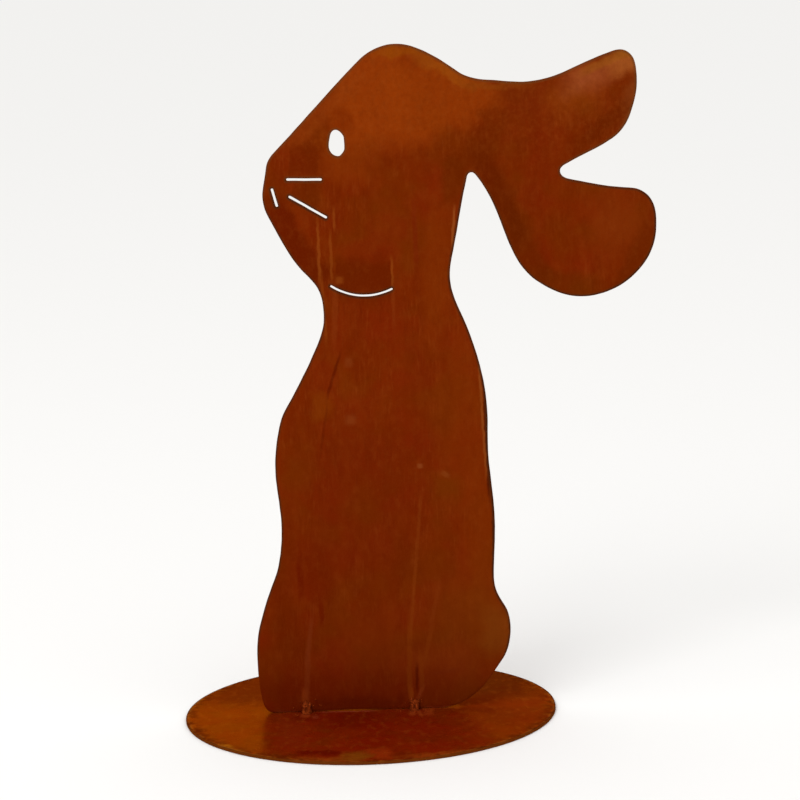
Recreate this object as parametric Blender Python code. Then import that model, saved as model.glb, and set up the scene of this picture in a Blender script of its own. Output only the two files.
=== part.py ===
"""Rabbit garden ornament: a sitting rabbit cut from flat steel sheet, tack-welded upright on a round plate.

Metres, +Z up. The origin is the centre of the plate's underside. The sheet stands along X, over the plate's
diameter, with the nose towards -X and the ears towards +X. The front, where the welds are, looks along -Y.
"""

import math

import bmesh
import bpy
from mathutils import Vector
from mathutils.geometry import delaunay_2d_cdt, interpolate_bezier

MM = 0.001

# Driving dimensions
PLATE_DIAMETER = 250 * MM
PLATE_THICKNESS = 2 * MM
PLATE_EDGE_ROUND = 0.3 * MM
PLATE_SIDES = 144
SHEET_THICKNESS = 2 * MM
GAP = 0.3 * MM

# Cut-outs: the width of the burner's cut, and where each one lies on the sheet (X, Z)
SLOT_WIDTH = 1.65 * MM
MOUTH_WIDTH = 1.4 * MM
UPPER_WHISKER = ((-42.5 * MM, 364.1 * MM), (-19.0 * MM, 363.3 * MM))
LOWER_WHISKER = ((-41.3 * MM, 353.0 * MM), (-16.7 * MM, 337.8 * MM))
NOSTRIL = ((-52.3 * MM, 358.5 * MM), (-49.2 * MM, 346.2 * MM))
MOUTH = ((-15.6 * MM, 292.2 * MM), (4.4 * MM, 285.3 * MM), (24.3 * MM, 289.0 * MM))

# Ears: how far each is rolled back at its edges, about its long axis, and how far the upper tip leans back
UPPER_EAR_ROOT = (126 * MM, 391 * MM)
UPPER_EAR_RISE = math.radians(29)
UPPER_EAR_HALF_WIDTH = 28 * MM
UPPER_EAR_ROLL = 4.5 * MM
UPPER_EAR_LENGTH = 62 * MM
UPPER_EAR_LEAN = 5 * MM
LOWER_EAR_ROOT = (118 * MM, 364 * MM)
LOWER_EAR_RISE = math.radians(-51)
LOWER_EAR_HALF_WIDTH = 46 * MM
LOWER_EAR_ROLL = 6 * MM
EAR_BEND_LENGTH = 36 * MM

# Tack welds: where along the sheet, and how far each bead reaches
WELD_LEFT_X = -43.2 * MM
WELD_RIGHT_X = 29.8 * MM
WELD_HALF_WIDTH = 3.4 * MM
WELD_REACH = 6.5 * MM
WELD_HEIGHT = 7.5 * MM

# Facets: the longest chord and the widest turn along the outline, and the spacing of points inside the ears
CHORD_LIMIT = 9 * MM
TURN_LIMIT = math.radians(7)
EAR_MESH_PITCH = 9 * MM
EAR_MESH_MARGIN = 5.4 * MM
ROUND_END_STEPS = 6
MOUTH_STEPS = 14
PLATE_EDGE_STEPS = 2
WELD_SIDES = 20
WELD_RINGS = 14
SAME_POINT = 1e-9
SMOOTH_LIMIT = math.radians(35)

# Finishes: linear colours, and the share of bare metal in the rust
SHEET_COLOUR = (0.17, 0.019, 0.002)
PLATE_COLOUR = (0.19, 0.024, 0.002)
WELD_COLOUR = (0.14, 0.03, 0.004)
SHEET_ROUGHNESS = 0.45
PLATE_ROUGHNESS = 0.4
WELD_ROUGHNESS = 0.55
RUST_METALLIC = 0.3

SHEET_BOTTOM = PLATE_THICKNESS + GAP

# The outline's knots, clockwise as the front shows it, in millimetres: X, Z and the heading in degrees (0 is
# +X, 90 is up). The curve between two knots is a circle's arc wherever their headings allow one.
CHEST = [
    (-66.0, SHEET_BOTTOM / MM, 180),
    (-71.2, 5.9, 121),
    (-73.0, 11.5, 101),
    (-75.2, 38.0, 90),
    (-73.4, 59.0, 76),
    (-64.0, 88.0, 68),
    (-59.0, 101.0, 75),
    (-55.2, 132.0, 90),
    (-57.7, 168.0, 90),
    (-54.2, 197.0, 76),
    (-49.5, 209.7, 59),
    (-28.0, 249.5, 65),
    (-21.3, 272.0, 90),
]
FACE = [
    (-26.0, 293.5, 124),
    (-35.0, 304.0, 130),
    (-51.0, 331.0, 116),
    (-58.6, 353.0, 89),
    (-55.7, 371.0, 82),
    (-54.0, 377.0, 62),
    (-47.5, 384.5, 45),
    (7.0, 440.0, 44),
    (32.0, 450.8, 0),
    (49.0, 446.4, -26),
    (71.0, 432.5, -38),
    (84.0, 426.4, -13),
]
UPPER_EAR = [
    (97.0, 424.8, -6),
    (115.0, 423.2, 0),
    (145.0, 429.4, 23),
    (172.0, 439.8, 18),
    (179.3, 441.3, -2),
    (188.0, 434.8, -70),
    (189.6, 422.0, -90),
    (187.6, 408.0, -106),
    (178.8, 389.0, -131),
    (170.4, 382.3, -149),
    (141.0, 368.0, -151),
    (137.7, 363.8, -90),
]
LOWER_EAR = [
    (143.0, 358.4, -13),
    (180.0, 351.4, -5),
    (190.6, 349.0, -31),
    (197.2, 342.7, -61),
    (200.3, 328.0, -90),
    (193.0, 302.8, -125),
    (167.5, 283.0, -160),
    (150.0, 279.7, 180),
    (131.8, 284.1, 154),
    (120.0, 291.2, 142),
    (107.9, 305.8, 118),
    (97.3, 333.0, 109),
    (82.4, 362.9, 127),
]
BACK = [
    (79.4, 364.9, 180),
    (76.6, 362.6, -105),
    (66.0, 314.5, -103),
    (63.1, 296.0, -90),
    (68.7, 273.6, -67),
    (81.7, 233.0, -78),
    (85.1, 200.0, -90),
    (84.7, 183.0, -90),
    (86.9, 149.0, -85),
    (87.8, 129.0, -90),
]
TAIL = [
    (86.0, 94.0, -92),
    (86.5, 85.5, -79),
    (91.0, 74.2, -58),
    (94.6, 67.0, -74),
    (96.2, 56.0, -90),
    (93.3, 40.3, -111),
    (89.4, 33.4, -125),
    (74.0, 13.6, -137),
    (62.0, 5.4, -155),
    (48.0, SHEET_BOTTOM / MM, 180),
]

# The eye's hole in the same way: an upright egg, straighter on the right, whose top leans to the left
EYE = [
    (-9.0, 395.8, 0),
    (-5.1, 393.5, -50),
    (-3.6, 390.4, -85),
    (-3.5, 383.4, -94),
    (-5.0, 380.3, -129),
    (-7.6, 378.4, 180),
    (-13.6, 385.0, 92),
    (-12.7, 391.4, 78),
]


def clear_scene():
    for thing in list(bpy.data.objects):
        bpy.data.objects.remove(thing, do_unlink=True)


def rusted_steel(name, colour, roughness):
    material = bpy.data.materials.new(name)
    material.use_nodes = True
    shader = material.node_tree.nodes["Principled BSDF"]
    shader.inputs["Base Color"].default_value = (*colour, 1)
    shader.inputs["Metallic"].default_value = RUST_METALLIC
    shader.inputs["Roughness"].default_value = roughness
    return material


def add_object(name, bm, material):
    mesh = bpy.data.meshes.new(name)
    bm.to_mesh(mesh)
    bm.free()
    mesh.materials.append(material)
    node = bpy.data.objects.new(name, mesh)
    bpy.context.scene.collection.objects.link(node)
    return node


def shade_round(mesh):
    """Smooth shading that stops at the cut edges."""
    mesh.shade_smooth()
    mesh.set_sharp_from_angle(angle=SMOOTH_LIMIT)


def heading_vector(heading):
    return Vector((math.cos(heading), math.sin(heading)))


def curve_between(start, end):
    """The points from one knot to just short of the next, closer together where the curve is tight."""
    first = Vector(start[:2]) * MM
    last = Vector(end[:2]) * MM
    leave, arrive = math.radians(start[2]), math.radians(end[2])
    turn = math.remainder(arrive - leave, math.tau)
    chord = (last - first).length
    handle = chord / (3 * math.cos(turn / 4) ** 2)
    steps = max(math.ceil(abs(turn) / TURN_LIMIT), math.ceil(chord / CHORD_LIMIT), 1)
    before = first + handle * heading_vector(leave)
    after = last - handle * heading_vector(arrive)
    return interpolate_bezier(first, before, after, last, steps + 1)[:-1]


def outline():
    """The sheet's edge. It closes along the straight cut at the bottom, which needs no points of its own."""
    knots = CHEST + FACE + UPPER_EAR + LOWER_EAR + BACK + TAIL
    points = []
    for start, end in zip(knots, knots[1:]):
        points.extend(curve_between(start, end))
    points.append(Vector(knots[-1][:2]) * MM)
    return points


def round_end(centre, heading, radius):
    """A half circle from the left of the heading, round the front, to the right."""
    turns = [heading + math.pi / 2 - math.pi * i / ROUND_END_STEPS for i in range(ROUND_END_STEPS + 1)]
    return [centre + radius * heading_vector(turn) for turn in turns]


def straight_slot(ends, width):
    start, end = Vector(ends[0]), Vector(ends[1])
    heading = math.atan2(end.y - start.y, end.x - start.x)
    inset = width / 2 * heading_vector(heading)
    far_end = round_end(end - inset, heading, width / 2)
    near_end = round_end(start + inset, heading + math.pi, width / 2)
    return far_end + near_end


def circle_through(a, b, c):
    """Centre and radius of the circle through three points."""
    ab, ac = b - a, c - a
    cross = 2 * (ab.x * ac.y - ab.y * ac.x)
    offset = Vector((
        (ac.y * ab.length_squared - ab.y * ac.length_squared) / cross,
        (ab.x * ac.length_squared - ac.x * ab.length_squared) / cross,
    ))
    return a + offset, offset.length


def arc_slot(three_points, width):
    """A slot along the arc that hangs through three points, from left to right."""
    left, low, right = (Vector(point) for point in three_points)
    centre, radius = circle_through(left, low, right)
    first = math.atan2(left.y - centre.y, left.x - centre.x)
    last = math.atan2(right.y - centre.y, right.x - centre.x)
    turns = [first + (last - first) * i / MOUTH_STEPS for i in range(MOUTH_STEPS + 1)]
    upper = [centre + (radius - width / 2) * heading_vector(turn) for turn in turns]
    lower = [centre + (radius + width / 2) * heading_vector(turn) for turn in reversed(turns)]
    right_end = round_end(centre + radius * heading_vector(last), last + math.pi / 2, width / 2)
    left_end = round_end(centre + radius * heading_vector(first), first - math.pi / 2, width / 2)
    return upper[:-1] + right_end + lower[1:-1] + left_end[:-1]


def eye():
    """The eye's hole, which closes on its first knot."""
    points = []
    for start, end in zip(EYE, EYE[1:] + EYE[:1]):
        points.extend(curve_between(start, end))
    return points


def smooth_rise(distance, length):
    """0 up to the start, 1 past the length, with no kink at either end."""
    share = min(max(distance / length, 0), 1)
    return share * share * (3 - 2 * share)


def rolled_back(point, root, rise, half_width, roll):
    """How far a sheet rolled about the axis through root lies behind it at this point."""
    offset = point - Vector(root)
    across = offset.y * math.cos(rise) - offset.x * math.sin(rise)
    return roll * (across / half_width) ** 2


def ear_bow(point):
    """How far the sheet lies behind the flat plane at a point (X, Z): 0 on the body, more on the ears."""
    crotch = Vector(UPPER_EAR[-1][:2]) * MM
    dip = Vector(UPPER_EAR[1][:2]) * MM
    notch = Vector(BACK[0][:2]) * MM
    ear_bottom = min(knot[1] for knot in LOWER_EAR) * MM
    if point.y > crotch.y:
        root_line = (dip - crotch).normalized()
        beyond = (point - crotch).dot(Vector((root_line.y, -root_line.x)))
        roll = rolled_back(point, UPPER_EAR_ROOT, UPPER_EAR_RISE, UPPER_EAR_HALF_WIDTH, UPPER_EAR_ROLL)
        lean = UPPER_EAR_LEAN * max(beyond / UPPER_EAR_LENGTH, 0) ** 2
        return (roll + lean) * smooth_rise(beyond, EAR_BEND_LENGTH)
    if point.x > notch.x and point.y > ear_bottom - GAP:
        roll = rolled_back(point, LOWER_EAR_ROOT, LOWER_EAR_RISE, LOWER_EAR_HALF_WIDTH, LOWER_EAR_ROLL)
        return roll * smooth_rise(crotch.y - point.y, EAR_BEND_LENGTH)
    return 0


def is_inside(point, loop):
    inside = False
    for a, b in zip(loop, loop[1:] + loop[:1]):
        if (a.y > point.y) != (b.y > point.y):
            crossing = a.x + (b.x - a.x) * (point.y - a.y) / (b.y - a.y)
            inside = inside != (point.x < crossing)
    return inside


def ear_lattice(loop):
    """Points spread over the bent parts of the ears, clear of the edge, so the bend has facets to follow."""
    low_x, high_x = min(p.x for p in loop), max(p.x for p in loop)
    low_z, high_z = min(p.y for p in loop), max(p.y for p in loop)
    row_pitch = EAR_MESH_PITCH * math.sqrt(3) / 2
    points = []
    for row in range(int((high_z - low_z) / row_pitch)):
        for column in range(int((high_x - low_x) / EAR_MESH_PITCH)):
            shift = 0.5 * (row % 2)
            point = Vector((low_x + (column + shift) * EAR_MESH_PITCH, low_z + row * row_pitch))
            clearance = min((point - edge_point).length for edge_point in loop)
            if ear_bow(point) > 0 and clearance > EAR_MESH_MARGIN and is_inside(point, loop):
                points.append(point)
    return points


def make_sheet():
    outer = outline()
    holes = [
        eye(),
        straight_slot(UPPER_WHISKER, SLOT_WIDTH),
        straight_slot(LOWER_WHISKER, SLOT_WIDTH),
        straight_slot(NOSTRIL, SLOT_WIDTH),
        arc_slot(MOUTH, MOUTH_WIDTH),
    ]
    points, edges = [], []
    for loop in [outer] + holes:
        start = len(points)
        points += loop
        edges += [(start + i, start + (i + 1) % len(loop)) for i in range(len(loop))]
    points += ear_lattice(outer)
    flat, _, triangles, *_ = delaunay_2d_cdt(points, edges, [], 0, SAME_POINT)
    bm = bmesh.new()
    verts = [bm.verts.new((p.x, ear_bow(p), p.y)) for p in flat]
    for triangle in triangles:
        middle = sum((flat[i] for i in triangle), Vector((0, 0))) / 3
        if is_inside(middle, outer) and not any(is_inside(middle, hole) for hole in holes):
            bm.faces.new([verts[i] for i in triangle])
    loose = [vert for vert in bm.verts if not vert.link_faces]
    bmesh.ops.delete(bm, geom=loose, context="VERTS")
    bmesh.ops.recalc_face_normals(bm, faces=bm.faces)
    sheet = add_object("rabbit_sheet", bm, rusted_steel("rusted_sheet", SHEET_COLOUR, SHEET_ROUGHNESS))
    wall = sheet.modifiers.new("sheet_thickness", "SOLIDIFY")
    wall.thickness = SHEET_THICKNESS
    wall.offset = 0
    wall.use_even_offset = True
    bpy.context.view_layer.objects.active = sheet
    bpy.ops.object.modifier_apply(modifier=wall.name)
    shade_round(sheet.data)


def make_plate():
    bm = bmesh.new()
    bmesh.ops.create_cone(
        bm,
        cap_ends=True,
        segments=PLATE_SIDES,
        radius1=PLATE_DIAMETER / 2,
        radius2=PLATE_DIAMETER / 2,
        depth=PLATE_THICKNESS,
    )
    bmesh.ops.translate(bm, verts=bm.verts, vec=(0, 0, PLATE_THICKNESS / 2))
    caps = [face for face in bm.faces if len(face.verts) == PLATE_SIDES]
    rims = [edge for cap in caps for edge in cap.edges]
    bmesh.ops.bevel(
        bm,
        geom=rims,
        offset=PLATE_EDGE_ROUND,
        segments=PLATE_EDGE_STEPS,
        profile=0.5,
        affect="EDGES",
    )
    plate = add_object("base_plate", bm, rusted_steel("rusted_plate", PLATE_COLOUR, PLATE_ROUGHNESS))
    shade_round(plate.data)


def make_weld(name, x):
    """A quarter of an egg-shaped bead, flat where it fuses to the sheet's front and to the plate."""
    bm = bmesh.new()
    bmesh.ops.create_uvsphere(bm, u_segments=WELD_SIDES, v_segments=WELD_RINGS, radius=1)
    bmesh.ops.scale(bm, verts=bm.verts, vec=(WELD_HALF_WIDTH, WELD_REACH, WELD_HEIGHT))
    for outward in (Vector((0, 1, 0)), Vector((0, 0, -1))):
        cut = bmesh.ops.bisect_plane(
            bm,
            geom=bm.verts[:] + bm.edges[:] + bm.faces[:],
            plane_co=(0, 0, 0),
            plane_no=outward,
            clear_outer=True,
        )
        rim = [item for item in cut["geom_cut"] if isinstance(item, bmesh.types.BMEdge)]
        bmesh.ops.contextual_create(bm, geom=rim)
    place = Vector((x, -SHEET_THICKNESS / 2 - GAP, PLATE_THICKNESS + GAP))
    bmesh.ops.translate(bm, verts=bm.verts, vec=place)
    bmesh.ops.recalc_face_normals(bm, faces=bm.faces)
    bead = add_object(name, bm, rusted_steel(name + "_steel", WELD_COLOUR, WELD_ROUGHNESS))
    shade_round(bead.data)


clear_scene()
make_sheet()
make_plate()
make_weld("weld_left", WELD_LEFT_X)
make_weld("weld_right", WELD_RIGHT_X)
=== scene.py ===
import math
import random

import bmesh
import bpy
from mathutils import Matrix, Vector, noise


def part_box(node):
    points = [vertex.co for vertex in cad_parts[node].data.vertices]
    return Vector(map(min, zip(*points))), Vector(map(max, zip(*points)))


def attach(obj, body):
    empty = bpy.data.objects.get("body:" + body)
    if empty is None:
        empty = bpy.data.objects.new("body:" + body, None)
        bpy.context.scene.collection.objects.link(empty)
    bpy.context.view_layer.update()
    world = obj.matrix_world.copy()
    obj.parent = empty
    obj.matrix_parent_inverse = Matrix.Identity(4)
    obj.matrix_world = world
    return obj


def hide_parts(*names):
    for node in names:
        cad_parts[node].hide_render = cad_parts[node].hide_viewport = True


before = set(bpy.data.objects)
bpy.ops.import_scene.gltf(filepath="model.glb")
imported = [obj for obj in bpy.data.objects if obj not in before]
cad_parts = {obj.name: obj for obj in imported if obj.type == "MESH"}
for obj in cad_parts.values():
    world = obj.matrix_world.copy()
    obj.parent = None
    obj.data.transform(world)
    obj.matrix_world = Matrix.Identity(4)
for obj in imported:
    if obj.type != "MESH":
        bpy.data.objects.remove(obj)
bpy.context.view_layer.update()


# Rabbit sheet: the whole silhouette, from the straight foot to both ears, torch-cut from one piece of 2 mm
# mild steel. The body is flat, and the ears were rolled back a little by hand. Two welds hold it on its foot.

MM = 0.001
SHEET_THICKNESS = 2 * MM
BURNED_ROUND = 0.3 * MM
SMOOTH_LIMIT = math.radians(40)

# The cut line: how a straight stretch is parted, and how many steps a bend of the outline or of a slot has
LONGEST_CHORD = 10 * MM
CHORD_CUTS = 12
OUTLINE_POINTS = 100
OUTLINE_STEPS = 5
SLOT_STEPS = 2

# The band along the cut, the squares inside it, and what counts as flat, as turned that way, or as one place
EDGE_BAND = 1.6 * MM
GRID_PITCH = 5.2 * MM
FLAT = 0.99
FACING = 0.5
ON_LINE = 0.001
SAME_PLACE = 0.001 * MM
SLIVER = 0.03 * MM

# Burned scale on the cut: most on the right, where it is partly painted shade, and only a trace at the foot
EVEN_SCALE = 0.8
SIDE_SCALE_AND_SHADE = 0.2
TRACE_OF_SCALE = 0.02
FOOT_CLEAR = 25 * MM

# Hand work: how far the cut line wobbles and the flat waves, and how the foot settles on the plate
WOBBLE = 0.12 * MM
WOBBLE_SIZE = 7 * MM
WOBBLE_SEED = 4
WAVE = 0.35 * MM
WAVE_SIZE = 85 * MM
FOOT_DROP = 0.2 * MM
FOOT_ARCH = 0.45 * MM
ARCH_MIDDLE = -13 * MM
ARCH_REACH = 26 * MM
SETTLED_HEIGHT = 30 * MM

# The ears' bend: each ear's root, rise, half width and roll, and how far the upper one leans back
CROTCH = Vector((137.7, 363.8)) * MM
DIP = Vector((115.0, 423.2)) * MM
NOTCH = Vector((79.4, 364.9)) * MM
LOWER_EAR_BOTTOM = 279.4 * MM
UPPER_EAR = (Vector((126, 391)) * MM, math.radians(29), 28 * MM, 4.5 * MM)
LOWER_EAR = (Vector((118, 364)) * MM, math.radians(-51), 46 * MM, 6 * MM)
UPPER_EAR_LENGTH = 62 * MM
UPPER_EAR_LEAN = 5 * MM
EAR_BEND_LENGTH = 36 * MM


def only(piece):
    """Deselects all the rest and hands this piece to the operators."""
    bpy.ops.object.select_all(action="DESELECT")
    piece.select_set(True)
    bpy.context.view_layer.objects.active = piece


def pick(piece, kind, wanted):
    """In edit mode, selects only the faces or edges that pass a test."""
    bpy.ops.mesh.select_mode(type=kind)
    bpy.ops.mesh.select_all(action="DESELECT")
    bm = bmesh.from_edit_mesh(piece.data)
    for item in bm.faces if kind == "FACE" else bm.edges:
        if wanted(item):
            item.select_set(True)
    bmesh.update_edit_mesh(piece.data)


def mark_edge_band(piece, share_at):
    """Writes how near each point is to a cut edge, from 0 to 1, for the scale and wear there."""
    bm = bmesh.from_edit_mesh(piece.data)
    cut_edge = bm.verts.layers.float.new("cut_edge")
    for vert in bm.verts:
        vert[cut_edge] = share_at(vert)
    bmesh.update_edit_mesh(piece.data)


def cut_into_grid(piece, pitch):
    """Cuts a flat lying piece into even squares, and clears other edges inside them and any sliver left."""
    bm = bmesh.from_edit_mesh(piece.data)
    low = [min(vert.co[axis] for vert in bm.verts) for axis in range(2)]
    high = [max(vert.co[axis] for vert in bm.verts) for axis in range(2)]
    for axis in range(2):
        for i in range(1, math.ceil((high[axis] - low[axis]) / pitch)):
            place, normal = Vector((0, 0, 0)), Vector((0, 0, 0))
            place[axis], normal[axis] = low[axis] + i * pitch, 1
            bpy.ops.mesh.select_all(action="SELECT")
            bpy.ops.mesh.bisect(plane_co=place, plane_no=normal, threshold=SAME_PLACE)
    cut_edge = bmesh.from_edit_mesh(piece.data).verts.layers.float["cut_edge"]

    def inside_a_square(edge):
        for axis in range(2):
            first, last = ((vert.co[axis] - low[axis]) / pitch for vert in edge.verts)
            if abs(first - last) < ON_LINE and abs(first - round(first)) < ON_LINE:
                return False
        return all(vert[cut_edge] == 0 for face in edge.link_faces for vert in face.verts)

    pick(piece, "EDGE", inside_a_square)
    bpy.ops.mesh.dissolve_edges(use_verts=True)
    bpy.ops.mesh.select_all(action="SELECT")
    bpy.ops.mesh.remove_doubles(threshold=SLIVER)
    bpy.ops.mesh.select_all(action="SELECT")
    bpy.ops.mesh.dissolve_degenerate(threshold=SLIVER)


def smooth_rise(distance, length):
    """Rises from 0 to 1 over a length, level at both its ends."""
    share = min(max(distance / length, 0), 1)
    return share * share * (3 - 2 * share)


def scale_and_shade_on_cut(vert):
    """How much burned scale a point of the lying sheet holds, none away from the cut; on right edges partly
    painted shade.
    """
    walls = [face.normal for face in vert.link_faces if abs(face.normal.z) < FLAT]
    if not walls:
        return 0
    outward = sum(walls, Vector()).xy.normalized()
    above_foot = max(smooth_rise(vert.co.y - FOOT_CLEAR, FOOT_CLEAR), TRACE_OF_SCALE)
    return (EVEN_SCALE + SIDE_SCALE_AND_SHADE * outward.x) * above_foot


def turn_about_x(piece, angle):
    """Turns a piece about the X axis, mesh and all."""
    piece.rotation_euler.x = angle
    only(piece)
    bpy.ops.object.transform_apply(rotation=True)


def rolled_back(point, root, rise, half_width, roll):
    """How far back an ear's roll about its long axis takes a place (X, Z)."""
    offset = point - root
    across = offset.y * math.cos(rise) - offset.x * math.sin(rise)
    return roll * (across / half_width) ** 2


def ear_bow(point):
    """How far the bent ears lie behind the flat body at a place (X, Z)."""
    if point.y > CROTCH.y:
        root_line = (DIP - CROTCH).normalized()
        beyond = (point - CROTCH).dot(Vector((root_line.y, -root_line.x)))
        lean = UPPER_EAR_LEAN * max(beyond / UPPER_EAR_LENGTH, 0) ** 2
        return (rolled_back(point, *UPPER_EAR) + lean) * smooth_rise(beyond, EAR_BEND_LENGTH)
    if point.x > NOTCH.x and point.y > LOWER_EAR_BOTTOM:
        return rolled_back(point, *LOWER_EAR) * smooth_rise(CROTCH.y - point.y, EAR_BEND_LENGTH)
    return 0


sheet = bpy.data.objects.new("cut_sheet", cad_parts["rabbit_sheet"].data.copy())
bpy.context.collection.objects.link(sheet)
sheet.data.materials.clear()
only(sheet)

# The solid's front edges are kept as wires, laid flat and redrawn as smooth curves, the way the torch ran
bpy.ops.object.mode_set(mode="EDIT")
bpy.ops.mesh.select_all(action="SELECT")
bpy.ops.mesh.remove_doubles(threshold=SAME_PLACE)
pick(sheet, "FACE", lambda face: face.normal.y > -FACING)
bpy.ops.mesh.delete(type="FACE")
pick(sheet, "EDGE", lambda edge: len(edge.link_faces) == 2)
bpy.ops.mesh.delete(type="EDGE")
bpy.ops.mesh.select_all(action="SELECT")
bpy.ops.mesh.delete_loose(use_verts=True, use_edges=False, use_faces=False)
bpy.ops.mesh.select_all(action="SELECT")
bpy.ops.transform.resize(value=(1, 0, 1), center_override=(0, 0, 0))
pick(sheet, "EDGE", lambda edge: edge.calc_length() > LONGEST_CHORD)
bpy.ops.mesh.subdivide(number_cuts=CHORD_CUTS)
bpy.ops.object.mode_set(mode="OBJECT")
turn_about_x(sheet, -math.pi / 2)
bpy.ops.object.convert(target="CURVE")
sheet = bpy.context.object
bpy.ops.object.mode_set(mode="EDIT")
bpy.ops.curve.select_all(action="SELECT")
bpy.ops.curve.spline_type_set(type="BEZIER")
bpy.ops.curve.handle_type_set(type="AUTOMATIC")
bpy.ops.object.mode_set(mode="OBJECT")

# The curves are filled to the sheet's thickness, with the burned edges rounded over
path = sheet.data
path.dimensions = "2D"
path.fill_mode = "BOTH"
path.extrude = SHEET_THICKNESS / 2 - BURNED_ROUND
path.bevel_depth = BURNED_ROUND
path.bevel_resolution = 1
path.offset = -BURNED_ROUND
for spline in path.splines:
    spline.resolution_u = OUTLINE_STEPS if len(spline.bezier_points) > OUTLINE_POINTS else SLOT_STEPS
bpy.ops.object.convert(target="MESH")
sheet = bpy.context.object
bpy.ops.object.mode_set(mode="EDIT")
bpy.ops.mesh.select_all(action="SELECT")
bpy.ops.mesh.remove_doubles(threshold=SAME_PLACE)

# A narrow band is inset along every cut edge, front and back. The flat inside it is filled afresh, as the
# inset folds some of its triangles over, and cut up so that it can bend.
pick(sheet, "FACE", lambda face: abs(face.normal.z) > FLAT)
bpy.ops.mesh.inset(thickness=EDGE_BAND, depth=0, use_boundary=True, use_even_offset=True)
bpy.ops.mesh.delete(type="FACE")
for side in (-1, 1):
    pick(sheet, "EDGE", lambda edge: len(edge.link_faces) == 1 and edge.verts[0].co.z * side > 0)
    bpy.ops.mesh.fill()
bpy.ops.mesh.select_all(action="SELECT")
bpy.ops.mesh.normals_make_consistent(inside=False)
mark_edge_band(sheet, scale_and_shade_on_cut)
cut_into_grid(sheet, GRID_PITCH)
bpy.ops.object.mode_set(mode="OBJECT")
turn_about_x(sheet, math.pi / 2)

# Hand work: the edge wanders a little, the flat is not quite flat, the ears are rolled back, and the foot
# rests on the plate but for a shallow arch between the welds. Nothing may pass the solid's own ends.
lowest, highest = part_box("rabbit_sheet")
noise.seed_set(WOBBLE_SEED)
for vert in sheet.data.vertices:
    place = Vector((vert.co.x, vert.co.z))
    wander = WOBBLE * noise.noise_vector(vert.co / WOBBLE_SIZE)
    wave = WAVE * noise.noise(vert.co / WAVE_SIZE) * smooth_rise(vert.co.z, WAVE_SIZE)
    arch = 1 - smooth_rise(abs(vert.co.x - ARCH_MIDDLE), ARCH_REACH)
    settle = 1 - smooth_rise(vert.co.z, SETTLED_HEIGHT)
    drop = (FOOT_ARCH * arch - FOOT_DROP) * settle
    vert.co += Vector((wander.x, ear_bow(place) + wave, wander.z * (1 - settle) + drop))
    vert.co.x = min(max(vert.co.x, lowest[0]), highest[0])
    vert.co.z = min(vert.co.z, highest[2])
only(sheet)
bpy.ops.object.shade_smooth_by_angle(angle=SMOOTH_LIMIT)
sheet.name = "sheet_silhouette"

# Rusted mild steel: weathered to an even brown-orange, then oiled, so that it has a soft gloss. Oiled rust
# lets the steel's reflections through tinted orange, so it is partly metallic, and its sheen is orange too.
# Rain and oil ran down it, so the finest marks are short upright streaks. All patterns are in millimetres.

RUST_METALLIC = 0.4
RUST_SHEEN_TINT = "FFC838"
GLOSSIER = 0.05
DULLER = 0.07
PIT_SIZE = 0.9
PIT_DEPTH = 0.12 * MM


def linear(code):
    """An sRGB hex colour as linear numbers."""
    parts = [int(code[i : i + 2], 16) / 255 for i in (0, 2, 4)]
    return (*(part / 12.92 if part < 0.04045 else ((part + 0.055) / 1.055) ** 2.4 for part in parts), 1)


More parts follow.
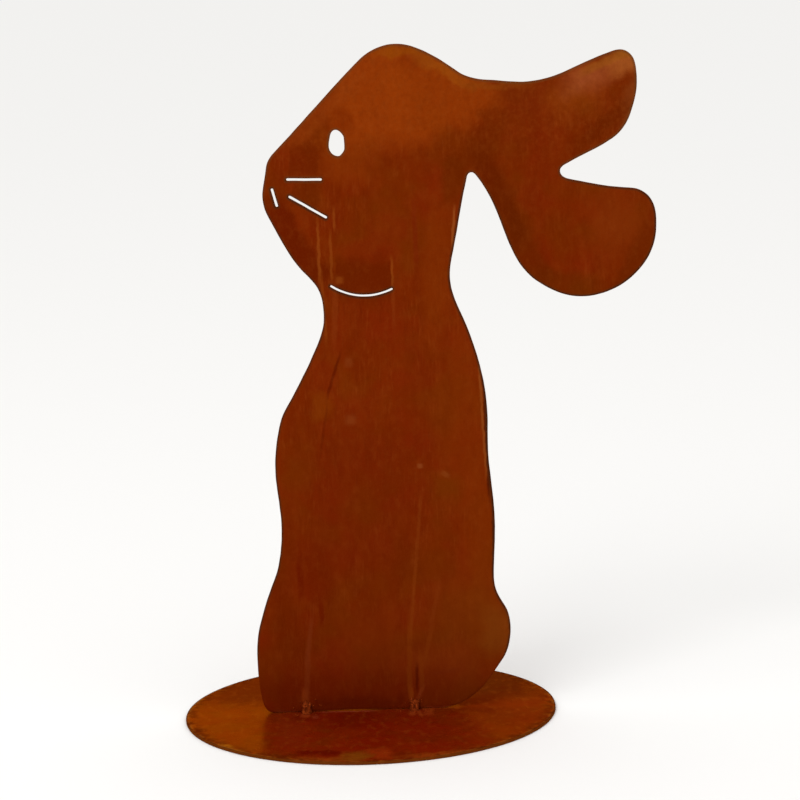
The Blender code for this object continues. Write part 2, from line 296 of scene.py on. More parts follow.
class Rust:
    """A rust finish in the making: its colour and gloss so far, and its patterns' place in millimetres."""

    def __init__(self, name, body):
        self.material = bpy.data.materials.new(name)
        self.material.use_nodes = True
        self.material.node_tree.nodes.clear()
        place = self.add("ShaderNodeTexCoord").outputs["Object"]
        in_mm = self.add("ShaderNodeVectorMath", {0: place, "Scale": 1 / MM}, operation="SCALE")
        self.place = in_mm.outputs["Vector"]
        self.colour = linear(body)
        self.gloss = RUST_METALLIC

    def add(self, kind, inputs=None, **settings):
        """Adds a node with its settings, and gives its inputs their values or links."""
        node = self.material.node_tree.nodes.new(kind)
        for name, value in settings.items():
            setattr(node, name, value)
        for name, value in (inputs or {}).items():
            if isinstance(value, bpy.types.NodeSocket):
                self.material.node_tree.links.new(value, node.inputs[name])
            else:
                node.inputs[name].default_value = value
        return node

    def pushed(self, size, reach):
        """The place pushed about by noise, which gives a patch or a streak its ragged edge."""
        push = self.add("ShaderNodeTexNoise", {"Vector": self.place, "Scale": 1 / size, "Detail": 5.0})
        evened = {0: push.outputs["Color"], 1: (0.5, 0.5, 0.5)}
        centred = self.add("ShaderNodeVectorMath", evened, operation="SUBTRACT").outputs["Vector"]
        reached = self.add("ShaderNodeVectorMath", {0: centred, "Scale": reach}, operation="SCALE")
        moved = {0: self.place, 1: reached.outputs["Vector"]}
        return self.add("ShaderNodeVectorMath", moved, operation="ADD").outputs["Vector"]

    def cloud(self, size, start, end, strength=1.0, stretch=(1, 1, 1), detail=4.0, seed=(0, 0, 0)):
        """A soft pattern of patches about this many millimetres across, from 0 to its strength."""
        squeeze = {"Vector": self.place, "Location": seed, "Scale": stretch}
        squeezed = self.add("ShaderNodeMapping", squeeze, vector_type="TEXTURE").outputs["Vector"]
        pattern = self.add("ShaderNodeTexNoise", {"Vector": squeezed, "Scale": 1 / size, "Detail": detail})
        limits = {"Value": pattern.outputs["Fac"], "From Min": start, "From Max": end, "To Max": strength}
        return self.add("ShaderNodeMapRange", limits, interpolation_type="SMOOTHSTEP").outputs["Result"]

    def lay(self, colour, *shares):
        """Lays a colour over the colour so far, where all the shares meet, and returns the share it took."""
        share = shares[0]
        for other in shares[1:]:
            share = self.add("ShaderNodeMath", {0: share, 1: other}, operation="MULTIPLY").outputs["Value"]
        layers = {"Fac": share, "Color1": self.colour, "Color2": linear(colour)}
        self.colour = self.add("ShaderNodeMixRGB", layers).outputs["Color"]
        return share

    def stain(self, place, centre, half_size, lean, fades, colour, strength, up="Z"):
        """A mark centred at a place on the flat, leaning by some degrees, that fades at its borders."""
        turn = math.radians(lean)
        shares = []
        for side, heading in enumerate(((math.cos(turn), -math.sin(turn)), (math.sin(turn), math.cos(turn)))):
            axis = Vector((heading[0], 0, heading[1])) if up == "Z" else Vector((heading[0], heading[1], 0))
            middle = Vector(heading).dot(Vector(centre)) / half_size[side]
            measured = {0: place, 1: axis / half_size[side]}
            along = self.add("ShaderNodeVectorMath", measured, operation="DOT_PRODUCT").outputs["Value"]
            offset = self.add("ShaderNodeMath", {0: along, 1: middle}, operation="SUBTRACT").outputs["Value"]
            out = self.add("ShaderNodeMath", {0: offset}, operation="ABSOLUTE").outputs["Value"]
            border = {
                "Value": out,
                "From Min": 1 - fades[side],
                "From Max": 1 + fades[side],
                "To Min": 1.0 if side else strength,
                "To Max": 0.0,
            }
            faded = self.add("ShaderNodeMapRange", border, interpolation_type="SMOOTHSTEP")
            shares.append(faded.outputs["Result"])
        return self.lay(colour, *shares)

    def stain_all(self, marks, size, reach):
        """Lays a whole table of marks, their borders pushed about by noise of this size and reach."""
        place = self.pushed(size, reach)
        for mark in marks:
            self.stain(place, *mark)

    def finish(self, roughness, pitting=0.15):
        """Fine grain in the colour, pitting in the surface, and the shader itself."""
        self.lay("7F3B18", self.cloud(0.9, 0.45, 0.75, 0.1, stretch=(1, 1, 1.8), detail=2.0))
        dark_grain = self.cloud(0.8, 0.45, 0.75, 0.1, stretch=(1, 1, 1.8), detail=2.0, seed=(31, 17, 5))
        self.lay("521400", dark_grain)
        unevenness = {
            "Value": self.cloud(18, 0.3, 0.7),
            "To Min": roughness - GLOSSIER,
            "To Max": roughness + DULLER,
        }
        uneven = self.add("ShaderNodeMapRange", unevenness)
        pits = self.add("ShaderNodeTexNoise", {"Vector": self.place, "Scale": 1 / PIT_SIZE, "Detail": 4.0})
        relief = {"Height": pits.outputs["Fac"], "Strength": pitting, "Distance": PIT_DEPTH}
        surface = {
            "Base Color": self.colour,
            "Metallic": self.gloss,
            "Roughness": uneven.outputs["Result"],
            "Specular IOR Level": 0.0,
            "Specular Tint": linear(RUST_SHEEN_TINT),
            "Normal": self.add("ShaderNodeBump", relief).outputs["Normal"],
        }
        shader = self.add("ShaderNodeBsdfPrincipled", surface)
        self.add("ShaderNodeOutputMaterial", {"Surface": shader.outputs["BSDF"]})
        return self.material


def weather(rust):
    """What rain and air do to both faces: clouds of yellower and redder rust, and short upright streaks."""
    rust.lay("672B01", rust.cloud(38, 0.42, 0.64, 0.45, seed=(7, 0, 3), detail=2.0))
    rust.lay("751C04", rust.cloud(31, 0.44, 0.66, 0.45, seed=(40, 9, 80), detail=2.0))
    rust.lay("7C2F06", rust.cloud(9, 0.45, 0.7, 0.24, stretch=(1, 1, 3), seed=(3, 2, 60), detail=2.0))
    rust.lay("5F1800", rust.cloud(8, 0.45, 0.7, 0.24, stretch=(1, 1, 3), seed=(91, 4, 12), detail=2.0))
    streaky = rust.cloud(26, 0.38, 0.62, stretch=(1, 1, 1.6), seed=(15, 3, 33), detail=2.0)
    pale_streaks = rust.cloud(1.5, 0.5, 0.76, 0.34, stretch=(1, 1, 7), seed=(5, 5, 5), detail=2.0)
    rust.lay("863A12", streaky, pale_streaks)
    dark_streaks = rust.cloud(1.7, 0.5, 0.78, 0.3, stretch=(1, 1, 7), seed=(60, 1, 9), detail=2.0)
    rust.lay("551200", streaky, dark_streaks)


# In millimetres up the sheet: over which height the burned scale wears thinner and the edges turn paler,
# which is partly a painted highlight on the upper edges, and the youngest rust begins
BROW_HEIGHTS = {"From Min": 345.0, "From Max": 378.0}
YOUNG_HEIGHTS = {"From Min": 360.0, "From Max": 395.0}


def burn_edge(rust):
    """A torch-cut edge: a hair's breadth of dark scale, paler on the brow and the upper ear from wear and
    partly from a painted highlight.
    """
    edge = rust.add("ShaderNodeAttribute", attribute_name="cut_edge").outputs["Fac"]
    height = rust.add("ShaderNodeSeparateXYZ", {0: rust.place}).outputs["Z"]
    worn_and_lit = rust.add("ShaderNodeMapRange", {"Value": height, **BROW_HEIGHTS, "To Min": 0.15, "To Max": 0.32})
    scaled = rust.add("ShaderNodeMapRange", {"Value": height, **BROW_HEIGHTS, "To Min": 0.7, "To Max": 0.36})
    pale = rust.add("ShaderNodeMapRange", {"Value": edge, "From Min": 0.0, "From Max": 0.4})
    dark = rust.add("ShaderNodeMapRange", {"Value": edge, "From Min": 0.0, "From Max": 0.55})
    rust.lay("7E5026", worn_and_lit.outputs["Result"], pale.outputs["Result"])
    rust.lay("2E170C", scaled.outputs["Result"], dark.outputs["Result"], rust.cloud(6, 0.1, 0.5))


# Patches on the front, in millimetres on the sheet: centre, half size, lean in degrees, how soft the sides
# and the ends are, colour, strength. The bright cloud over the head is where the rust is youngest.
FRONT_PATCHES = [
    ((14, 418), (25, 33), 0, (0.4, 0.35), "8D3606", 0.75),
    ((60, 418), (34, 25), -22, (0.3, 0.35), "8B3505", 0.7),
    ((-16, 409), (6, 34), 45, (0.6, 0.3), "87360A", 0.5),
    ((-1, 374), (15, 14), 0, (0.6, 0.6), "803004", 0.5),
    ((-3, 402), (5, 8), 0, (0.5, 0.5), "6E2000", 0.5),
    ((36, 446), (15, 4), 0, (0.6, 0.6), "98520A", 0.35),
    ((62, 433), (18, 4), 32, (0.6, 0.6), "9A5210", 0.4),
    ((98, 421), (22, 3), 0, (0.5, 0.6), "84400C", 0.5),
    ((-31, 377), (9.5, 9), 0, (0.1, 0.35), "5F1A00", 0.55),
    ((-31, 354), (9, 8), 0, (0.2, 0.4), "5C1C00", 0.5),
    ((-53, 362), (5, 18), 0, (0.5, 0.5), "6C2400", 0.4),
    ((6, 297), (18.5, 13), 0, (0.06, 0.5), "5E1900", 0.75),
    ((-37, 321), (8, 32), -31, (0.5, 0.3), "5B1500", 0.75),
    ((54, 300), (8, 52), 4, (0.6, 0.4), "7A2E04", 0.4),
    # Painted shade below the ears' roots, on the back of the head, in the next three rows.
    ((67, 360), (8, 15), 13, (0.5, 0.5), "5C2000", 0.6),
    ((87, 383), (10, 22), 35, (0.6, 0.5), "602000", 0.55),
    ((99, 347), (8, 32), -24, (0.6, 0.5), "561800", 0.7),
    ((118, 412), (16, 10), -5, (0.3, 0.5), "6E2204", 0.55),
    # Painted highlight on the rolled upper ear, in the next four rows: over its middle, at its tip and on its
    # right edge. The row after them is painted shade along its lower edge.
    ((149, 412), (18, 11), -18, (0.8, 0.8), "8C400C", 0.35),
    ((158, 424), (14, 7), -20, (0.9, 0.9), "A0522A", 0.5),
    ((183, 433), (12, 6), -12, (0.7, 0.7), "A85C26", 0.6),
    ((185, 406), (4.5, 18), 16, (0.6, 0.5), "7C3C16", 0.5),
    ((168, 393), (22, 5), -38, (0.6, 0.7), "5E1C00", 0.6),
    ((176, 328), (16, 18), 0, (0.8, 0.8), "7C3008", 0.5),
    ((113, 309), (10, 28), -30, (0.6, 0.4), "5A1C00", 0.6),
    ((141, 312), (7, 11), 0, (0.7, 0.7), "682000", 0.5),
    ((140, 288), (28, 8), 12, (0.5, 0.6), "5A2200", 0.4),
    ((188, 301), (9, 28), 28, (0.5, 0.4), "5E1E00", 0.6),
    ((0, 146), (36, 50), 0, (0.4, 0.4), "621A01", 0.35),
    ((70, 205), (12, 60), 3, (0.6, 0.4), "782A03", 0.4),
    ((78, 105), (10, 60), 0, (0.6, 0.4), "762C02", 0.45),
    ((-26, 212), (7, 8), 0, (0.6, 0.6), "7A3404", 0.5),
    ((56, 154), (10, 9), 0, (0.6, 0.6), "642C00", 0.5),
    ((-34, 98), (12, 22), -15, (0.6, 0.5), "611900", 0.5),
    ((-56, 76), (10, 34), -10, (0.6, 0.5), "601A00", 0.4),
    ((64, 66), (22, 24), 0, (0.6, 0.6), "6E3004", 0.5),
    ((87, 55), (9, 16), 0, (0.6, 0.6), "76380A", 0.7),
    ((50, 30), (26, 14), 0, (0.6, 0.6), "7A2E08", 0.5),
    ((2, 46), (20, 20), 0, (0.6, 0.6), "742A04", 0.4),
    # Painted shade along the foot, reddened as light thrown up from the plate reddens it. The row after it
    # darkens the foot further between the welds.
    ((-6, 8), (64, 18), 0, (0.2, 0.5), "620F00", 0.3),
    ((-6, 6), (30, 5), 0, (0.1, 0.7), "480C00", 0.35),
]

# Runs, scratches and narrow strips on the front, in the same order. Heat drew a pair of pale runs up from
# each weld.
FRONT_RUNS = [
    ((169, 434), (17, 2.6), -23, (0.5, 0.6), "905014", 0.5),
    ((184, 438.5), (7, 2.4), -6, (0.5, 0.6), "905014", 0.5),
    ((-23, 315), (0.9, 20), 0, (0.6, 0.4), "8F4614", 0.5),
    ((-21, 278), (0.9, 22), -2, (0.6, 0.4), "8A4010", 0.4),
    ((-12, 337), (0.8, 7), 0, (0.6, 0.5), "8F4614", 0.4),
    ((-15, 312), (0.9, 16), 0, (0.6, 0.4), "8F4614", 0.4),
    ((25, 300), (0.8, 10), 0, (0.6, 0.4), "8F4614", 0.45),
    ((66.3, 329), (0.8, 13), 5, (0.6, 0.4), "9A5220", 0.5),
    ((-14, 272), (1.8, 18), 3, (0.6, 0.4), "823610", 0.35),
    ((25, 277), (1.1, 13), 0, (0.6, 0.4), "823610", 0.3),
    ((41, 325), (1.6, 22), 0, (0.6, 0.4), "6C1A04", 0.5),
    ((-10, 296), (2.6, 2.2), 0, (0.6, 0.6), "8F4614", 0.4),
    ((-16.5, 232), (0.9, 15), 18, (0.6, 0.4), "4E0E00", 0.6),
    ((-24.5, 194), (0.8, 17), 10, (0.6, 0.4), "551400", 0.4),
    ((-6, 202), (3.4, 3.4), 0, (0.6, 0.6), "84401A", 0.3),
    ((-6, 241), (2.5, 3), 0, (0.6, 0.6), "84401A", 0.3),
    ((39, 169), (1.8, 1.6), 0, (0.6, 0.6), "8C4820", 0.45),
    ((56, 163), (3, 1.6), 30, (0.6, 0.6), "864218", 0.4),
    ((-44, 95), (2.0, 13), 0, (0.5, 0.6), "5E1000", 0.6),
    ((-30.5, 71), (1.6, 9), 0, (0.4, 0.5), "601200", 0.55),
    ((81.6, 204), (0.8, 42), -2, (0.6, 0.2), "8C4A1C", 0.5),
    ((84, 198), (1.1, 52), -1, (0.5, 0.2), "3A1004", 0.75),
    ((86.4, 120), (0.9, 30), 1, (0.5, 0.3), "3A1004", 0.7),
    ((27.6, 13), (1.6, 5), 0, (0.6, 0.6), "92400E", 0.55),
    ((34, 13), (1.2, 5), 25, (0.6, 0.6), "8A3A18", 0.5),
    ((27.6, 38), (1.7, 26), 2, (0.5, 0.3), "7A3206", 0.6),
    ((31.3, 78), (1.1, 22), 6, (0.6, 0.4), "7C340A", 0.45),
    ((36, 122), (1.1, 26), 6, (0.6, 0.4), "7C340C", 0.4),
    ((31.9, 24), (0.9, 9), 0, (0.5, 0.5), "450800", 0.55),
    ((35.2, 28), (1.5, 13), 0, (0.5, 0.5), "7A3208", 0.6),
    ((40, 45), (1.4, 13), 14, (0.6, 0.5), "7A3208", 0.55),
    ((45.5, 72), (1.3, 14), 13, (0.6, 0.5), "78300A", 0.45),
    ((-44, 13), (2.2, 5), 2, (0.6, 0.6), "923C12", 0.5),
    ((-42, 26), (1.8, 15), 4, (0.5, 0.5), "7A3010", 0.6),
    ((-39.5, 52), (1.4, 14), 8, (0.6, 0.5), "783012", 0.5),
    ((52, 27), (9, 1.3), -8, (0.6, 0.6), "6C240A", 0.4),
    # Painted highlight: a bright hairline along the foot where the sheet meets the plate, in the next two
    # rows.
    ((-57, 2.7), (7, 0.4), 0, (0.3, 0.5), "7E3018", 0.7),
    ((46, 2.7), (10, 0.4), 0, (0.4, 0.5), "843014", 0.7),
]

# How a patch and a run are frayed: the size of the noise and its reach
PATCH_FRAY = (13, 15)
RUN_FRAY = (5, 2.2)
FRONT_ROUGHNESS = 0.4

front = Rust("oiled_rust_front", "6E2101")
weather(front)
front.stain_all(FRONT_PATCHES, *PATCH_FRAY)
front.stain_all(FRONT_RUNS, *RUN_FRAY)
front.lay("863C10", front.cloud(4.2, 0.46, 0.74, 0.12, stretch=(1, 1, 1.5), seed=(12, 30, 7), detail=2.0))
front.lay("5A1600", front.cloud(4.6, 0.46, 0.74, 0.12, stretch=(1, 1, 1.5), seed=(44, 3, 70), detail=2.0))

# The brow and the upper ear are the youngest rust, mottled in rounder spots
height = front.add("ShaderNodeSeparateXYZ", {0: front.place}).outputs["Z"]
young = front.add("ShaderNodeMapRange", {"Value": height, **YOUNG_HEIGHTS}).outputs["Result"]
front.lay("984A18", young, front.cloud(3.2, 0.42, 0.74, 0.12, seed=(6, 2, 9), detail=2.0))
front.lay("521600", young, front.cloud(3.4, 0.42, 0.74, 0.12, seed=(70, 8, 1), detail=2.0))
burn_edge(front)
sheet.data.materials.append(front.finish(FRONT_ROUGHNESS))

# The back was never turned to the rain or to the eye: the same rust, plainer, with the welds' heat marks
# showing through
BACK_PATCHES = [
    ((28, 412), (46, 34), 0, (0.5, 0.5), "7C3004", 0.5),
    ((120, 350), (40, 40), 0, (0.6, 0.6), "682200", 0.4),
    ((-10, 190), (40, 60), 0, (0.6, 0.5), "752A04", 0.4),
    ((0, 12), (74, 24), 0, (0.2, 0.6), "5A1200", 0.5),
    ((-43, 16), (7, 12), 0, (0.6, 0.6), "4A1408", 0.6),
    ((30, 16), (7, 12), 0, (0.6, 0.6), "4A1408", 0.6),
]
BACK_ROUGHNESS = 0.42

back = Rust("oiled_rust_back", "6E2301")
weather(back)
back.stain_all(BACK_PATCHES, *PATCH_FRAY)
burn_edge(back)
sheet.data.materials.append(back.finish(BACK_ROUGHNESS))

only(sheet)
bpy.ops.object.mode_set(mode="EDIT")
pick(sheet, "FACE", lambda face: face.normal.y > FACING)
sheet.active_material_index = 1
bpy.ops.object.material_slot_assign()
bpy.ops.object.mode_set(mode="OBJECT")

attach(sheet, "root")
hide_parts("rabbit_sheet")


# Base plate: a disc of the same 2 mm steel, 250 mm across, torch-cut and lying flat on the ground. The sheet
# stands across its middle.

PLATE_RADIUS = 125 * MM
PLATE_THICKNESS = 2 * MM
PLATE_SIDES = 256
PLATE_BAND = 3 * MM
BAND_MIDDLE = PLATE_RADIUS - BURNED_ROUND - PLATE_BAND / 2
RIM_TOP_SCALE = 0.5
PLATE_DIP = 0.12 * MM
PLATE_DIP_SIZE = WAVE_SIZE / 2
RIM_WOBBLE = 0.15 * MM
RIM_WOBBLE_SIZE = WAVE_SIZE / 4


def scale_on_rim(vert):
    """How much burned scale a point of the plate holds: none inside the band, most on the wall."""
    if vert.co.xy.length < BAND_MIDDLE:
        return 0
    return RIM_TOP_SCALE if vert.co.z > PLATE_THICKNESS - SAME_PLACE else 1


def swell(place, size):
    """Soft hills and dips about this size, from 0 to 1."""
    return 0.5 + 0.5 * noise.noise(place / size)


bpy.ops.object.select_all(action="DESELECT")
bpy.ops.mesh.primitive_cylinder_add(
    vertices=PLATE_SIDES, radius=PLATE_RADIUS, depth=PLATE_THICKNESS, location=(0, 0, PLATE_THICKNESS / 2)
)
plate = bpy.context.object
plate.name = "round_base"
bpy.ops.object.transform_apply(location=True)
bpy.ops.object.mode_set(mode="EDIT")
pick(plate, "EDGE", lambda edge: any(len(face.verts) > 4 for face in edge.link_faces))
bpy.ops.mesh.bevel(offset=BURNED_ROUND, segments=2, affect="EDGES")
pick(plate, "FACE", lambda face: len(face.verts) > 4)
bpy.ops.mesh.inset(thickness=PLATE_BAND, depth=0)
mark_edge_band(plate, scale_on_rim)
cut_into_grid(plate, GRID_PITCH)
bpy.ops.object.mode_set(mode="OBJECT")

# The disc is not quite round or quite flat on top, but it lies flat on the ground
for vert in plate.data.vertices:
    top = smooth_rise(vert.co.z, PLATE_THICKNESS)
    out = smooth_rise(vert.co.xy.length, PLATE_RADIUS)
    pull = RIM_WOBBLE * out * swell(vert.co, RIM_WOBBLE_SIZE)
    vert.co.xy *= 1 - pull / PLATE_RADIUS
    vert.co.z -= PLATE_DIP * top * swell(vert.co, PLATE_DIP_SIZE)
only(plate)
bpy.ops.object.shade_smooth_by_angle(angle=SMOOTH_LIMIT)

# Patches on the plate, seen from above: centre (X, Y), half size, lean, softness, colour, strength, share of
# gloss that is lost. Most dull places are dry scab. The plate is also darker in front of the sheet, and
# darker and duller beside and behind the tail. The sheen of the rest mirrors what stands above it.
PLATE_PATCHES = [
    ((-100, 0), (32, 90), 0, (0.3, 0.3), "7A2802", 0.5, 0),
    ((-86, 60), (28, 36), 0, (0.5, 0.5), "642002", 0.75, 0.75),
    ((-12, -26), (17, 22), 0, (0.6, 0.5), "620800", 0.65, 0.2),
    ((8, -60), (12, 40), 0, (0.6, 0.5), "701000", 0.5, 0.15),
    ((40, -58), (15, 34), 0, (0.5, 0.5), "701602", 0.5, 0.2),
    ((-53, -45), (9, 40), -4, (0.5, 0.4), "702006", 0.5, 0.3),
    ((-32, -101), (15, 5), 3, (0.4, 0.5), "5A0800", 0.85, 0.3),
    ((-28, -117), (24, 6), 0, (0.5, 0.6), "96420E", 0.75, 0),
    ((-8, -112), (8, 10), 15, (0.6, 0.6), "7A4408", 0.7, 0.2),
    ((9, -108), (7, 11), -10, (0.5, 0.5), "963008", 0.8, 0),
    ((22, -112), (6, 10), 10, (0.5, 0.5), "621600", 0.7, 0.3),
    ((44, -112), (18, 5), -12, (0.5, 0.6), "94400C", 0.7, 0),
    ((-56, -106), (9, 5), 20, (0.5, 0.5), "4E1A00", 0.7, 0.4),
    ((-92, -85), (12, 4), 45, (0.5, 0.6), "A06014", 0.7, 0),
    ((88, 62), (20, 38), 0, (0.5, 0.5), "5E2404", 0.8, 0.85),
    ((72, 4), (15, 24), 0, (0.5, 0.5), "621600", 0.85, 0.8),
    ((100, 0), (30, 44), 0, (0.6, 0.5), "6E2604", 0.55, 0.75),
    ((96, -60), (30, 36), 0, (0.5, 0.5), "702202", 0.5, 0.55),
    ((-114, -42), (4, 7), 0, (0.5, 0.5), "5A1A00", 0.8, 0.6),
]

# Smaller marks in the same order: heat tint round the welds, painted reflections of the welds in the plate,
# and painted highlights along the joint
PLATE_MARKS = [
    ((-43, -13), (9, 13), 0, (0.5, 0.5), "5A0C00", 0.6, 0.4),
    ((30, -13), (10, 13), 0, (0.5, 0.5), "660E00", 0.5, 0.4),
    # Painted reflections of the welds in the plate, in the next five rows.
    ((-44, -10), (3, 5), 0, (0.5, 0.5), "8E3814", 0.6, 0.5),
    ((-37, -15), (2, 4), 0, (0.6, 0.6), "80301A", 0.5, 0.4),
    ((28.5, -11), (2.2, 7), 0, (0.5, 0.5), "8E3814", 0.6, 0.5),
    ((33, -12), (1.3, 8), -6, (0.5, 0.5), "883612", 0.6, 0.5),
    ((39, -11), (3.4, 8), 0, (0.6, 0.5), "8A3410", 0.6, 0.4),
    # Painted highlights along the joint, in the next two rows.
    ((-15, -3.6), (18, 0.9), 1, (0.2, 0.5), "92402A", 0.8, 0.4),
    ((46, -2.4), (12, 1.0), 0, (0.4, 0.5), "80300E", 0.6, 0.4),
]
PLATE_PATCH_FRAY = (9, 16)
PLATE_MARK_FRAY = (3, 2.5)

PLATE_METALLIC = 0.37
PLATE_METALLIC_LOW = 0.88 * PLATE_METALLIC
PLATE_ROUGHNESS = 0.24
PLATE_PITTING = 0.12
OUTER_RING = {"From Min": 114.0, "From Max": 123.0}
SCAB_DULLS = 0.85
SCALE_DULLS = 0.8

base = Rust("oiled_rust_plate", "7A1F01")
base.lay("6C2A01", base.cloud(30, 0.45, 0.62, 0.5, seed=(7, 0, 3)))
base.lay("7E1602", base.cloud(22, 0.46, 0.62, 0.5, seed=(40, 9, 80)))
steel_shows = {"Value": base.cloud(26, 0.35, 0.6), "To Min": PLATE_METALLIC_LOW, "To Max": PLATE_METALLIC}
base.gloss = base.add("ShaderNodeMapRange", steel_shows).outputs["Result"]
dull = []
for marks, fray in ((PLATE_PATCHES, PLATE_PATCH_FRAY), (PLATE_MARKS, PLATE_MARK_FRAY)):
    place = base.pushed(*fray)
    for *mark, lost in marks:
        dull.append((base.stain(place, *mark, up="Y"), lost / mark[-1]))
base.lay("94440F", base.cloud(5, 0.5, 0.72, 0.26, stretch=(1, 2, 1), seed=(12, 30, 7)))
base.lay("5E1200", base.cloud(5.5, 0.5, 0.72, 0.32, stretch=(1, 2, 1), seed=(44, 3, 70)))

# The outer ring is scuffed and scabbed, and along its very edge runs a broken line of scale, with yellow rust
# inside it
from_middle = base.add("ShaderNodeVectorMath", {0: base.place}, operation="LENGTH").outputs["Value"]
ring = base.add("ShaderNodeMapRange", {"Value": from_middle, **OUTER_RING}).outputs["Result"]
dull.append((base.lay("541A02", ring, base.cloud(6, 0.36, 0.62, 0.85, seed=(2, 7, 4))), SCAB_DULLS))
base.lay("8E440A", ring, base.cloud(3.6, 0.5, 0.68, 0.5, seed=(9, 1, 6)))
edge = base.add("ShaderNodeAttribute", attribute_name="cut_edge").outputs["Fac"]
yellow = base.add("ShaderNodeMapRange", {"Value": edge, "From Min": 0.05, "From Max": 0.35}).outputs["Result"]
base.lay("90501A", yellow, base.cloud(9, 0.4, 0.64, 0.6, seed=(3, 8, 0)))
scale_line = {"Value": edge, "From Min": 0.34, "From Max": 0.48, "To Max": 0.85}
dark = base.add("ShaderNodeMapRange", scale_line).outputs["Result"]
dull.append((base.lay("34180A", dark, base.cloud(8, 0.2, 0.6, seed=(5, 5, 1))), SCALE_DULLS))
wall = base.add("ShaderNodeMapRange", {"Value": edge, "From Min": 0.6, "From Max": 0.9, "To Max": 0.8})
base.lay("683008", wall.outputs["Result"])

# Where it is dull, it loses its gloss
for share, lost in dull:
    if lost:
        kept = base.add("ShaderNodeMapRange", {"Value": share, "To Min": 1.0, "To Max": 1 - lost})
        dulled = {0: base.gloss, 1: kept.outputs["Result"]}
        base.gloss = base.add("ShaderNodeMath", dulled, operation="MULTIPLY").outputs["Value"]
plate.data.materials.append(base.finish(PLATE_ROUGHNESS, PLATE_PITTING))

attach(plate, "root")
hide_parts("base_plate")


# Weld beads: two tacks of steel run in with a stick at the front of the foot, one at each side, which hold
# sheet and plate together. Each is a few lumps of weld metal side by side, with spatter on both steels.

# Each lump in millimetres from the foot of its weld: centre (across, out, up), radii, lean in degrees
LEFT_LUMPS = [
    ((-0.7, -0.6, 4.3), (2.3, 2.3, 3.3), 4),
    ((-1.6, -2.8, 0.4), (1.6, 3.6, 3.4), 0),
    ((1.5, -2.9, 0.5), (1.6, 3.6, 3.8), 5),
    ((1.8, -0.4, 4.2), (1.3, 1.5, 2.4), 12),
    ((-0.1, -4.3, 0), (2.7, 2.5, 1.7), 0),
]
RIGHT_LUMPS = [
    ((-1.6, -2.8, 0.5), (1.5, 3.6, 4.1), 0),
    ((1.3, -2.8, 0.6), (1.5, 3.6, 4.4), 4),
    ((-1.7, -0.4, 4.4), (1.3, 1.5, 2.9), -10),
    ((2.2, -0.4, 4.2), (1.1, 1.5, 2.8), 22),
    ((0.2, -0.6, 3.8), (1.8, 2.2, 2.6), 0),
    ((0.1, -4.2, 0), (2.8, 2.5, 1.8), 0),
]
WELDS = [
    ("weld_bead_left", "weld_left", (-43.2, -1.0, 2.0), LEFT_LUMPS, 5),
    ("weld_bead_right", "weld_right", (29.8, -1.0, 2.0), RIGHT_LUMPS, 11),
]

# In millimetres: how the lumps melt together, in what waves the bead froze, and how deep it is sunk
LUMP_FINENESS = 4
WELD_VOXEL = 0.22
MELT_SHARE = 0.5
MELT_ROUNDS = 3
RIPPLE = 0.10
RIPPLE_TURN = 5.2
RIPPLE_BOW = 1.3
BUMPS = 0.35
BUMP_RATE = 0.9
SUNK = 0.4

# Spatter, in millimetres too: its size and throw, and where it begins above the plate and before the sheet
SPATTER_COUNT = 16
DROP_FINENESS = 2
SPATTER_SIZES = (0.25, 0.6)
SPATTER_THROWS = (4.2, 11)
SPATTER_FALL = 0.9
SPATTER_ABOVE = 0.8
SPATTER_BEFORE = 1.2
SINK_IN_SHEET = 0.15
SINK_IN_PLATE = 0.05
WELD_ROUGHNESS = 0.45
WELD_PITTING = 0.4

weld_rust = Rust("rusted_weld_metal", "762C0C")
weld_rust.lay("983F16", weld_rust.cloud(2.2, 0.45, 0.65, 0.7, stretch=(1, 1, 2), detail=3.0))
weld_rust.lay("561A06", weld_rust.cloud(1.5, 0.5, 0.68, 0.6, seed=(9, 9, 9), detail=3.0))
weld_finish = weld_rust.finish(WELD_ROUGHNESS, WELD_PITTING)


def shape_lumps(foot, lumps):
    """In edit mode, shapes the ball that is there into the first lump, and adds one for each lump more."""
    for number, (centre, radii, lean) in enumerate(lumps):
        if number:
            bpy.ops.mesh.select_all(action="DESELECT")
            bpy.ops.mesh.primitive_ico_sphere_add(subdivisions=LUMP_FINENESS, radius=MM, location=(0, 0, 0))
        bpy.ops.transform.resize(value=radii, center_override=(0, 0, 0))
        bpy.ops.transform.rotate(value=-math.radians(lean), orient_axis="Y", center_override=(0, 0, 0))
        bpy.ops.transform.translate(value=Vector(foot) * MM + Vector(centre) * MM)


def melt(bead):
    """Runs the lumps together into one skin and softens the creases between them."""
    only(bead)
    union = bead.modifiers.new("run_together", "REMESH")
    union.mode = "VOXEL"
    union.voxel_size = WELD_VOXEL * MM
    bpy.ops.object.modifier_apply(modifier=union.name)
    soft = bead.modifiers.new("melted", "SMOOTH")
    soft.factor = MELT_SHARE
    soft.iterations = MELT_ROUNDS
    bpy.ops.object.modifier_apply(modifier=soft.name)


def cut_flush(foot):
    """In edit mode, cuts the bead off just inside the sheet and just inside the plate."""
    cuts = (((0, foot[1] + SUNK, 0), (0, 1, 0)), ((0, 0, foot[2] - SUNK), (0, 0, -1)))
    for place, normal in cuts:
        plane = {"plane_co": Vector(place) * MM, "plane_no": normal}
        bpy.ops.mesh.select_all(action="SELECT")
        bpy.ops.mesh.bisect(**plane, use_fill=True, clear_outer=True, threshold=SAME_PLACE)


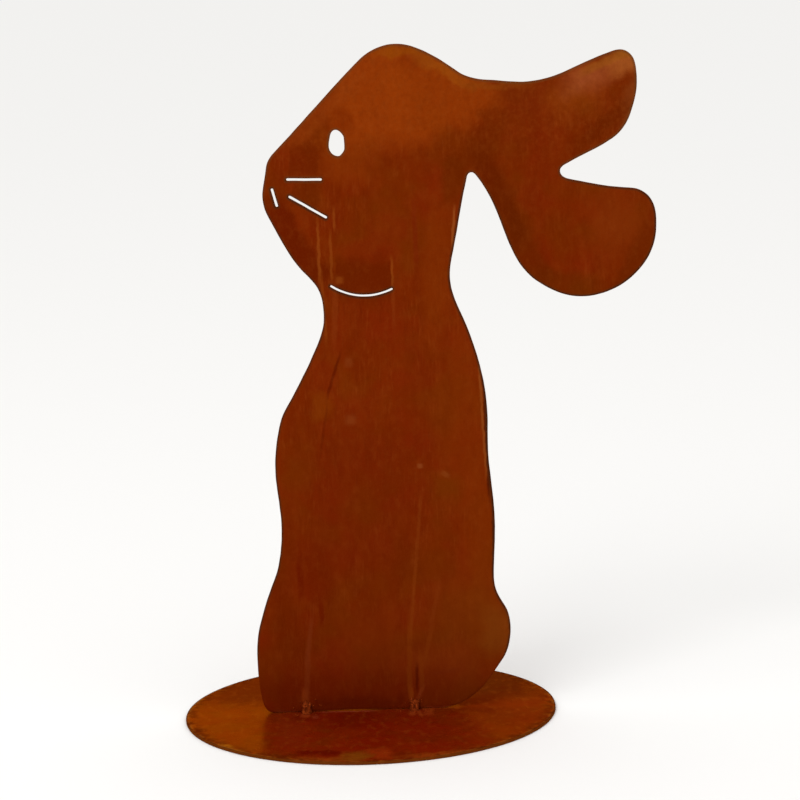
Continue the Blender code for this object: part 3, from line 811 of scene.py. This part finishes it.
def throw_spatter(foot, seed):
    """In edit mode, adds drops that froze where they landed, by turns on the sheet and on the plate."""
    drops = random.Random(seed)
    for number in range(SPATTER_COUNT):
        size = drops.uniform(*SPATTER_SIZES)
        throw = drops.uniform(*SPATTER_THROWS)
        turn = drops.uniform(0, math.pi)
        across = foot[0] + throw * math.cos(turn)
        away = SPATTER_FALL * throw * math.sin(turn)
        if number % 2:
            at = Vector((across, foot[1] + SINK_IN_SHEET * size, foot[2] + SPATTER_ABOVE + away))
        else:
            at = Vector((across, foot[1] - SPATTER_BEFORE - away, foot[2] - SINK_IN_PLATE))
        bpy.ops.mesh.select_all(action="DESELECT")
        bpy.ops.mesh.primitive_ico_sphere_add(subdivisions=DROP_FINENESS, radius=size * MM, location=at * MM)


for name, node, foot, lumps, seed in WELDS:
    bpy.ops.object.select_all(action="DESELECT")
    bpy.ops.mesh.primitive_ico_sphere_add(subdivisions=LUMP_FINENESS, radius=MM, location=(0, 0, 0))
    bead = bpy.context.object
    bead.name = name
    bpy.ops.object.mode_set(mode="EDIT")
    shape_lumps(foot, lumps)
    bpy.ops.object.mode_set(mode="OBJECT")
    melt(bead)
    for vert in bead.data.vertices:
        ripple = RIPPLE * math.sin(vert.co.z / MM * RIPPLE_TURN + RIPPLE_BOW * abs(vert.co.x / MM - foot[0]))
        bump = BUMPS * noise.noise(vert.co / MM * BUMP_RATE + Vector((seed, 0, 0)))
        vert.co += vert.normal * (ripple + bump) * MM
    bpy.ops.object.mode_set(mode="EDIT")
    cut_flush(foot)
    throw_spatter(foot, seed)
    bpy.ops.object.mode_set(mode="OBJECT")
    bpy.ops.object.shade_smooth()
    bead.data.materials.append(weld_finish)
    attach(bead, "root")
    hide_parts(node)


# Floor, light and camera: a pale floor, an even pale studio round it and one large soft light from the upper
# left. The camera's place, turn and lens suit the ellipse of the plate's rim and the straight foot.

FLOOR_REACH = 14
FLOOR_DROP = 0.1 * MM
FLOOR_COLOUR = "F7F6F4"
FLOOR_ROUGHNESS = 0.9
STUDIO_COLOUR = "FFFFFF"
STUDIO_LIGHT = 0.95
SOFTBOX_WIDTH = 1.6
SOFTBOX_HEIGHT = 1.2
SOFTBOX_POWER = 25
SOFTBOX_PLACE = (-1.2, -2.0, 2.2)
SOFTBOX_AIM = Vector((0, 0, 0.25))
CAMERA_PLACE = (0.06623, -2.29905, 0.64277)
CAMERA_TURN = (79.434, 2.014, 0.597)
CAMERA_LENS = 158.156
CAMERA_FILM = 36

bpy.ops.object.select_all(action="DESELECT")
bpy.ops.mesh.primitive_plane_add(size=2 * FLOOR_REACH, location=(0, 0, -FLOOR_DROP))
floor = bpy.context.object
floor.name = "floor"
painted = bpy.data.materials.new("pale_floor")
painted.use_nodes = True
paint = painted.node_tree.nodes["Principled BSDF"].inputs
paint["Base Color"].default_value = linear(FLOOR_COLOUR)
paint["Roughness"].default_value = FLOOR_ROUGHNESS
paint["Specular IOR Level"].default_value = 0.0
floor.data.materials.append(painted)

world = bpy.data.worlds.new("studio")
world.use_nodes = True
world.node_tree.nodes["Background"].inputs["Color"].default_value = linear(STUDIO_COLOUR)
world.node_tree.nodes["Background"].inputs["Strength"].default_value = STUDIO_LIGHT
bpy.context.scene.world = world

key = bpy.data.lights.new("softbox", "AREA")
key.shape = "RECTANGLE"
key.size = SOFTBOX_WIDTH
key.size_y = SOFTBOX_HEIGHT
key.energy = SOFTBOX_POWER
softbox = bpy.data.objects.new("softbox", key)
softbox.location = SOFTBOX_PLACE
softbox.rotation_euler = (SOFTBOX_AIM - softbox.location).to_track_quat("-Z", "Y").to_euler()
bpy.context.collection.objects.link(softbox)

camera = bpy.data.objects.new("camera", bpy.data.cameras.new("camera"))
camera.data.sensor_width = CAMERA_FILM
camera.data.lens = CAMERA_LENS
camera.location = CAMERA_PLACE
camera.rotation_euler = [math.radians(angle) for angle in CAMERA_TURN]
bpy.context.collection.objects.link(camera)
bpy.context.scene.camera = camera
bpy.context.scene.view_settings.view_transform = "Standard"
